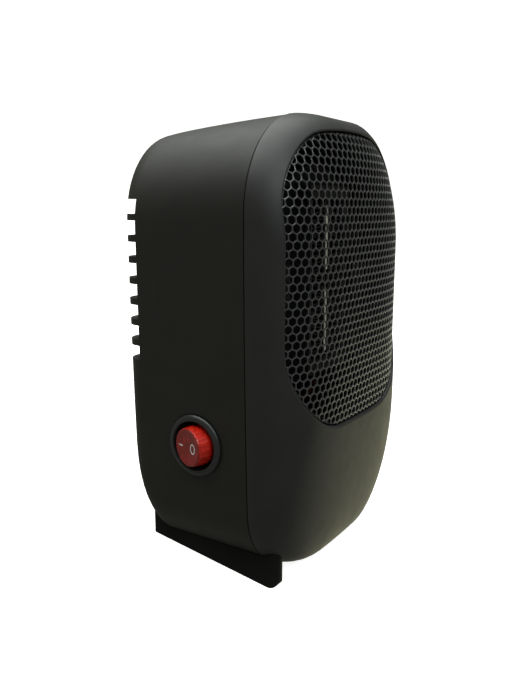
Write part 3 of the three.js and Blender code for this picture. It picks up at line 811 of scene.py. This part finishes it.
def build_feet():
    """Rubber runners with a round nose; their tops follow the housing, their soles are level."""
    nose_steps, body_steps, across_steps = 9, 40, 9
    for name in ("left", "right"):
        low, high = local_box(f"foot_{name}")
        half = (high[0] - low[0]) / 2
        centre = (high[0] + low[0]) / 2
        front, back = float(low[1]), float(high[1])
        nose = np.radians(np.linspace(0, 90, nose_steps))
        body = np.linspace(front + half, back, body_steps)[1:]
        ys = np.concatenate([front + half * (1 - np.cos(nose)), body])
        widths = np.concatenate([half * np.sin(nose), np.full(len(body), half)])
        widths[0] = half * NOSE_BLUNT
        across = np.linspace(-1, 1, across_steps)
        xs = np.concatenate([centre + across * w for w in widths])
        yy = np.repeat(ys, len(across))
        top = underside(np.abs(xs), yy) - GAP
        into = np.clip(NOSE_ROUND - (yy - front), 0, NOSE_ROUND)
        bottom = floor_height(yy) + NOSE_ROUND - np.sqrt(NOSE_ROUND ** 2 - into ** 2)
        rings = []
        for row in range(len(ys)):
            part = slice(row * across_steps, (row + 1) * across_steps)
            upper = np.stack([xs[part], yy[part], top[part]], 1)
            lower = np.stack([xs[part], yy[part], bottom[part]], 1)[::-1]
            rings.append(np.concatenate([upper, lower]))
        foot = skin(f"runner_{name}", rings)
        for screw in ("front", "back"):
            box_low, box_high = local_box(f"foot_screw_{name}_{screw}")
            middle = (box_low + box_high) / 2
            seat = float(box_low[2]) + FOOT_WELL["head"]
            wide, narrow = FOOT_WELL["radius"], FOOT_WELL["hole"]
            cut = lathe(
                "cut", [(0, -30), (wide, -30), (wide, seat), (narrow, seat), (narrow, 30), (0, 30)],
                along("z", middle[0], middle[1], 0), steps=40,
            )
            combine(foot, cut, "DIFFERENCE")
        bevel(foot, 0.9, segments=3, angle=48, sharp=50)
        place_piece(foot, RUBBER, replaces=(f"foot_{name}",))


def build_screw(node, axis):
    """A pan-head screw with a cross recess, where its CAD node is."""
    low, high = local_box(node)
    middle = (low + high) / 2
    along_z = axis == "z"
    radius = (high[0] - low[0]) / 2
    length = (high[2] - low[2]) if along_z else (high[1] - low[1])
    head = 0.72 * radius
    shank = 0.48 * radius
    tip = length - head
    profile = [(0, -head)]
    for turn in np.radians([62, 45, 28, 12, 0]):
        profile.append((radius * math.cos(turn) ** 0.8, -head * math.sin(turn) ** 0.9 * 0.96 - 0.03))
    profile += [(radius, 0), (shank, 0)]
    pitch = 0.9
    for k in range(int((tip - 1) / pitch)):
        profile += [(shank * 0.86, 0.4 + k * pitch), (shank * 1.05, 0.4 + (k + 0.5) * pitch)]
    profile += [(shank * 0.4, tip), (0, tip)]
    if along_z:
        place = along("z", middle[0], middle[1], float(low[2]) + head)
    else:
        place = (
            TO_ROW @ Matrix.Translation((middle[0], float(high[1]) - head, middle[2]))
            @ Matrix.Rotation(math.pi / 2, 4, "X")
        )
    screw = lathe(f"{node}_body", profile, place, steps=32)
    for turn in (0, math.pi / 2):
        arm = block(
            "arm", (-radius * 0.55, -0.28, -head - 1), (radius * 0.55, 0.28, -head * 0.35),
            place @ Matrix.Rotation(turn, 4, "Z"),
        )
        combine(screw, arm, "DIFFERENCE")
    shade(screw, 35)
    place_piece(screw, STEEL, replaces=(node,))


# ---------------------------------------------------------------- power switch

def build_switch():
    seat = SWITCH["seat"] - GAP
    radius, bore = SWITCH["radius"] - 0.1, SWITCH["bore"]
    depth = float(local_box("switch_body")[1][0]) - seat
    profile = [
        (0, -depth + 0.01), (9.4, -depth + 0.01), (9.8, -depth + 0.4), (9.8, 0), (radius - 0.1, 0),
        (radius, 0.1), (radius, 0.45), (radius - 0.12, 0.7), (radius - 0.4, 0.98), (radius - 0.85, 1.22),
        (radius - 1.25, 1.36), (radius - 1.6, 1.42), (bore + 0.35, 1.43),
        (bore + 0.12, 1.34), (bore, 1.12), (bore - 0.02, -9.4), (0, -9.4),
    ]
    body = lathe("switch_bezel", profile, along("-x", seat, SWITCH["y"], SWITCH["z"]), steps=128)
    place_piece(body, SWITCH_BLACK, replaces=("switch_body",))


def build_rocker():
    """The red rocker and its marks, in its own frame: the pivot is the origin, z points straight
    out of the face, x up and y to the heater's back."""
    pivot = Vector(JOINTS["rocker_tilt"]["pos_m"])
    axis = Vector(JOINTS["rocker_tilt"]["axis"])
    tilt = math.radians(JOINTS["rocker_tilt"]["range_deg"][1] / 2)
    place = (
        Matrix.Translation(pivot) @ Matrix.Rotation(-tilt, 4, axis) @ Matrix.Rotation(-LEAN, 4, "X")
        @ Matrix.Scale(MM, 4) @ Matrix.Rotation(-math.pi / 2, 4, "Y")
    )
    face = ROCKER["face"]
    steps = 144
    turns = np.linspace(0, 2 * math.pi, steps, endpoint=False)
    circle = np.stack([np.cos(turns), np.sin(turns)], 1)

    def ring(radius, height, squash=0.0, flute=0.0, ahead=0.45):
        """A ring round the rocker; squash is how much lower it is than wide, and ahead how far its
        middle is in front of the pivot."""
        flutes = (0.5 + 0.5 * np.cos(turns * ROCKER["flutes"])) ** 3
        reach = radius - flute * flutes
        return np.column_stack([
            circle[:, 0] * (reach - squash), circle[:, 1] * reach - ahead, np.full(steps, height),
        ])

    lens_rings = [
        ring(1e-3, face - 0.32), ring(2.0, face - 0.30), ring(4.0, face - 0.2), ring(5.6, face - 0.06),
        ring(6.3, face + 0.04), ring(6.6, face + 0.08), ring(6.85, face + 0.02), ring(7.0, face - 0.14),
    ]
    lens_rings += [ring(6.2, face - 1.1), ring(1e-3, face - 1.1)]
    lens = skin("rocker_face", lens_rings, place=place, sharp=60)
    wall_rings = [
        ring(1e-3, face - 1.15), ring(6.2, face - 1.0), ring(6.85, face - 0.22), ring(7.02, face - 0.2),
        ring(7.08, face - 0.34), ring(7.16, face - 0.9, 0.0, 0.1), ring(7.32, face - 1.8, 0.06, 0.14),
        ring(7.46, face - 2.8, 0.12, 0.14, 0.4), ring(7.6, face - 3.9, 0.2, 0.12, 0.35),
        ring(7.7, face - 4.8, 0.25, 0, 0.3), ring(7.7, face - 5.6, 0.25, 0, 0.2),
        ring(7.5, face - 6.6, 0.2, 0, 0.1), ring(6.0, face - 8.2), ring(1e-3, face - 8.4),
    ]
    wall = skin("rocker_wall", wall_rings, place=place, sharp=60)
    place_piece(lens, LENS_FACE, "rocker", replaces=("rocker",))
    place_piece(wall, LIT_LENS_WALL, "rocker")

    def dish(away):
        """Height of the slightly hollow face at a distance from its middle."""
        return face - ROCKER["hollow"] + 0.34 * (away / 6.5) ** 2

    def paint(name, layers, loop=False):
        """A painted mark: its outlines with their heights over the face."""
        rings = [np.stack([x, y, dish(np.hypot(x, y)) + lift], 1) for x, y, lift in layers]
        mark = skin(name, rings, loop=loop, place=place)
        place_piece(mark, MARK_WHITE, "rocker")

    proud, sunk = PAINT["proud"], PAINT["sunk"]
    bar = BAR_MARK
    bar_turns = np.linspace(0, 2 * math.pi, 32, endpoint=False)
    bar_x = bar["half"] * np.cos(bar_turns)
    bar_y = bar["half"] * np.sin(bar_turns) + np.where(np.sin(bar_turns) > 0, bar["reach"], -bar["reach"])
    paint("mark_on", [
        (bar_x * scale, bar_y * scale + bar["at"], lift)
        for scale, lift in ((0.02, proud), (0.8, proud), (1.0, 0.0), (1.0, sunk), (0.02, sunk))
    ])
    o = RING_MARK
    stroke, crest = o["stroke"], o["crest"]
    ring_turns = np.linspace(0, 2 * math.pi, 48, endpoint=False)
    paint("mark_off", [
        (
            (o["half_height"] + grow) * np.cos(ring_turns),
            (o["half_width"] + grow) * np.sin(ring_turns) + o["at"], lift,
        )
        for grow, lift in (
            (-stroke, sunk), (-stroke, 0.0), (-crest, proud), (crest, proud), (stroke, 0.0), (stroke, sunk),
        )
    ], loop=True)


# ---------------------------------------------------------------- heating element

def build_fins():
    """Thin corrugated aluminium between each contact plate and its side rail."""
    for name in ("left", "right"):
        low, high = local_box(f"fin_strip_{name}")
        folds = 44
        fine = 4
        count = folds * fine
        z = np.linspace(low[2] + 0.3, high[2] - 0.3, count + 1)
        phase = np.arange(count + 1) / fine
        swing = np.clip(np.abs((phase % 2) - 1) * 1.25 - 0.125, 0, 1)
        x = low[0] + 0.1 + (high[0] - low[0] - 0.2) * swing
        tangent = np.gradient(np.stack([x, z], 1), axis=0)
        tangent /= np.linalg.norm(tangent, axis=1)[:, None]
        side = np.stack([tangent[:, 1], -tangent[:, 0]], 1) * 0.11
        y0, y1 = float(low[1]) + 0.1, float(high[1]) - 0.1
        rings = []
        for k in range(count + 1):
            a = np.array([x[k], z[k]]) + side[k]
            b = np.array([x[k], z[k]]) - side[k]
            rings.append(np.array([(a[0], y0, a[1]), (a[0], y1, a[1]), (b[0], y1, b[1]), (b[0], y0, b[1])]))
        fins = skin(f"fins_{name}", rings, sharp=30)
        place_piece(fins, ALUMINIUM_PAINTED_SHADE, replaces=(f"fin_strip_{name}",))


def build_gland():
    low, high = local_box("cord_gland")
    x, z = (low[0] + high[0]) / 2, (low[2] + high[2]) / 2
    wall = REAR_DEPTH + GAP
    end = float(high[1])
    outer = (high[0] - low[0]) / 2
    profile = [
        (2.9, float(low[1])), (4.2, float(low[1])), (4.3, float(low[1]) + 0.4), (4.3, wall - 3.2),
        (4.3, wall), (outer - 0.2, wall), (outer, wall + 0.2), (outer, wall + 0.8), (outer - 0.35, end - 0.2),
        (outer - 0.9, end), (3.4, end), (3.0, end - 0.25), (2.9, end - 0.8),
    ]
    gland = lathe("gland", profile, along("y", x, 0, z), steps=64)
    place_piece(gland, RUBBER, replaces=("cord_gland",))


def build_impeller():
    """A cupped hub with pitched, swept blades."""
    low, high = local_box("impeller")
    tip = (high[2] - low[2] + high[0] - low[0]) / 4 - 0.4
    hub = 13
    profile = [
        (1.3, 13.6), (11.4, 13.0), (12.4, 13.3), (hub, 14.2), (hub, 25), (hub - 1.6, 25), (hub - 1.6, 15),
        (3, 15), (3, 24), (1.3, 24),
    ]
    parts = [lathe("rotor_wheel", profile, along("y", 0, 0, AIR_AXIS), steps=72)]
    blades = 7
    chord = 13.0
    for i in range(blades):
        rings = []
        for share in np.linspace(0, 1, 14):
            radius = hub - 0.6 + (tip - hub) * share
            pitch = math.radians(62 - 22 * share)
            section = []
            for u in np.concatenate([np.linspace(-1, 1, 9), np.linspace(1, -1, 9)[1:-1]]):
                upper = len(section) < 9
                thick = 0.65 * (1 - u * u) ** 0.5 + 0.12
                along_chord = u * chord / 2 * (1 - 0.12 * share)
                bow = 0.9 * (1 - u * u)
                off = (thick if upper else -thick) + bow
                tangent = along_chord * math.sin(pitch) + off * math.cos(pitch)
                y = FAN_DEPTH + along_chord * math.cos(pitch) - off * math.sin(pitch)
                sweep = tangent / radius + 0.10 * share
                section.append((radius * math.sin(sweep), y, AIR_AXIS + radius * math.cos(sweep)))
            rings.append(np.array(section))
        blade = skin("blade", rings, place=Matrix.Identity(4), sharp=50)
        turn = Matrix.Translation((0, 0, AIR_AXIS)) @ Matrix.Rotation(i * 2 * math.pi / blades, 4, "Y")
        blade.data.transform(TO_ROW @ turn @ Matrix.Translation((0, 0, -AIR_AXIS)))
        parts.append(blade)
    wheel = join(*parts)
    place_piece(wheel, IMPELLER, "rotor", replaces=("impeller",))


# ---------------------------------------------------------------- camera, light, floor

def build_camera():
    """The camera's place is given in the housing's frame, and it leans with the housing."""
    yaw, pitch = VIEW["yaw"], VIEW["pitch"]
    forward = Vector((math.sin(yaw) * math.cos(pitch), math.cos(yaw) * math.cos(pitch), -math.sin(pitch)))
    right = Vector((math.cos(yaw), -math.sin(yaw), 0))
    up = right.cross(forward)
    basis = Matrix((right, up, -forward)).transposed().to_4x4()
    data = bpy.data.cameras.new("camera")
    data.lens = 36
    data.sensor_width = 36
    camera = bpy.data.objects.new("camera", data)
    bpy.context.scene.collection.objects.link(camera)
    place = TO_ROW @ Vector(VIEW["place"])
    camera.matrix_world = Matrix.Translation(place) @ Matrix.Rotation(-LEAN, 4, "X") @ basis
    data.clip_start = 0.01
    bpy.context.scene.camera = camera


def area_light(name, place, target, size, power, color=(1, 1, 1)):
    data = bpy.data.lights.new(name, "AREA")
    data.shape = "RECTANGLE"
    data.size, data.size_y = size
    data.energy = power
    data.color = color
    light = bpy.data.objects.new(name, data)
    light.location = place
    light.rotation_euler = (Vector(target) - Vector(place)).to_track_quat("-Z", "Y").to_euler()
    bpy.context.scene.collection.objects.link(light)


def build_stage():
    """A pale sweep: a level floor that curves up into a backdrop far behind the heater."""
    floor_z = cad_box[0].z
    radius = 1.2
    reach = 3.0
    rows = [(-reach, 0.0)]
    for turn in np.radians(np.linspace(0, 90, 16)):
        rows.append((reach - radius + radius * math.sin(turn), radius * (1 - math.cos(turn))))
    rows.append((reach, 3.2))
    points, faces = [], []
    away = Vector((math.sin(VIEW["yaw"]), math.cos(VIEW["yaw"]), 0))
    across = Vector((math.cos(VIEW["yaw"]), -math.sin(VIEW["yaw"]), 0))
    for distance, height in rows:
        for side in (-4, 4):
            p = away * distance + across * side
            points.append((p.x, p.y, floor_z + height))
    for row in range(len(rows) - 1):
        a = row * 2
        faces.append((a, a + 1, a + 3, a + 2))
    sweep = make("studio_sweep", points, faces, place=Matrix.Identity(4), sharp=80)
    paper = surface("sweep_paper", (0.8, 0.8, 0.8), 0.9, specular=0.0, grain=2, grain_depth=0.02, mottle=0.01)
    shader = paper.node_tree.nodes["Principled BSDF"]
    shader.inputs["Emission Color"].default_value = (1, 1, 1, 1)
    shader.inputs["Emission Strength"].default_value = 0.9
    sweep.data.materials.append(paper)
    # The backdrop shows as plain white and doesn't light the object.
    sweep.visible_diffuse = False
    sweep.visible_glossy = False
    sweep.visible_shadow = False


def build_light():
    world = bpy.data.worlds.new("world")
    world.use_nodes = True
    background = world.node_tree.nodes["Background"]
    background.inputs["Color"].default_value = (0.98, 1.0, 0.88, 1)
    background.inputs["Strength"].default_value = 0.22
    bpy.context.scene.world = world
    bpy.context.scene.view_settings.view_transform = "Standard"
    area_light("top", (-0.05, 0.3, 1.1), (0, 0, 0.1), (1.4, 1.4), 23, (0.97, 1.0, 0.98))
    area_light("front_left", (-0.3, -0.75, 1.0), (0, 0, 0.1), (0.5, 0.4), 4, (0.9, 0.96, 1.0))
    area_light("right", (0.72, -0.02, -0.36), (0, 0, 0.05), (0.9, 0.7), 2.0, (1.0, 0.97, 0.62))


build_camera()
paint_carried_over()
build_rear_shell()
build_front_shell()
build_grille()
build_grille_border()
build_feet()
for screw_node, screw_axis in (
    ("case_screw_left", "y"), ("case_screw_right", "y"),
    ("foot_screw_left_front", "z"), ("foot_screw_left_back", "z"),
    ("foot_screw_right_front", "z"), ("foot_screw_right_back", "z"),
):
    build_screw(screw_node, screw_axis)
build_switch()
build_rocker()
build_fins()
build_gland()
build_impeller()
build_stage()
build_light()
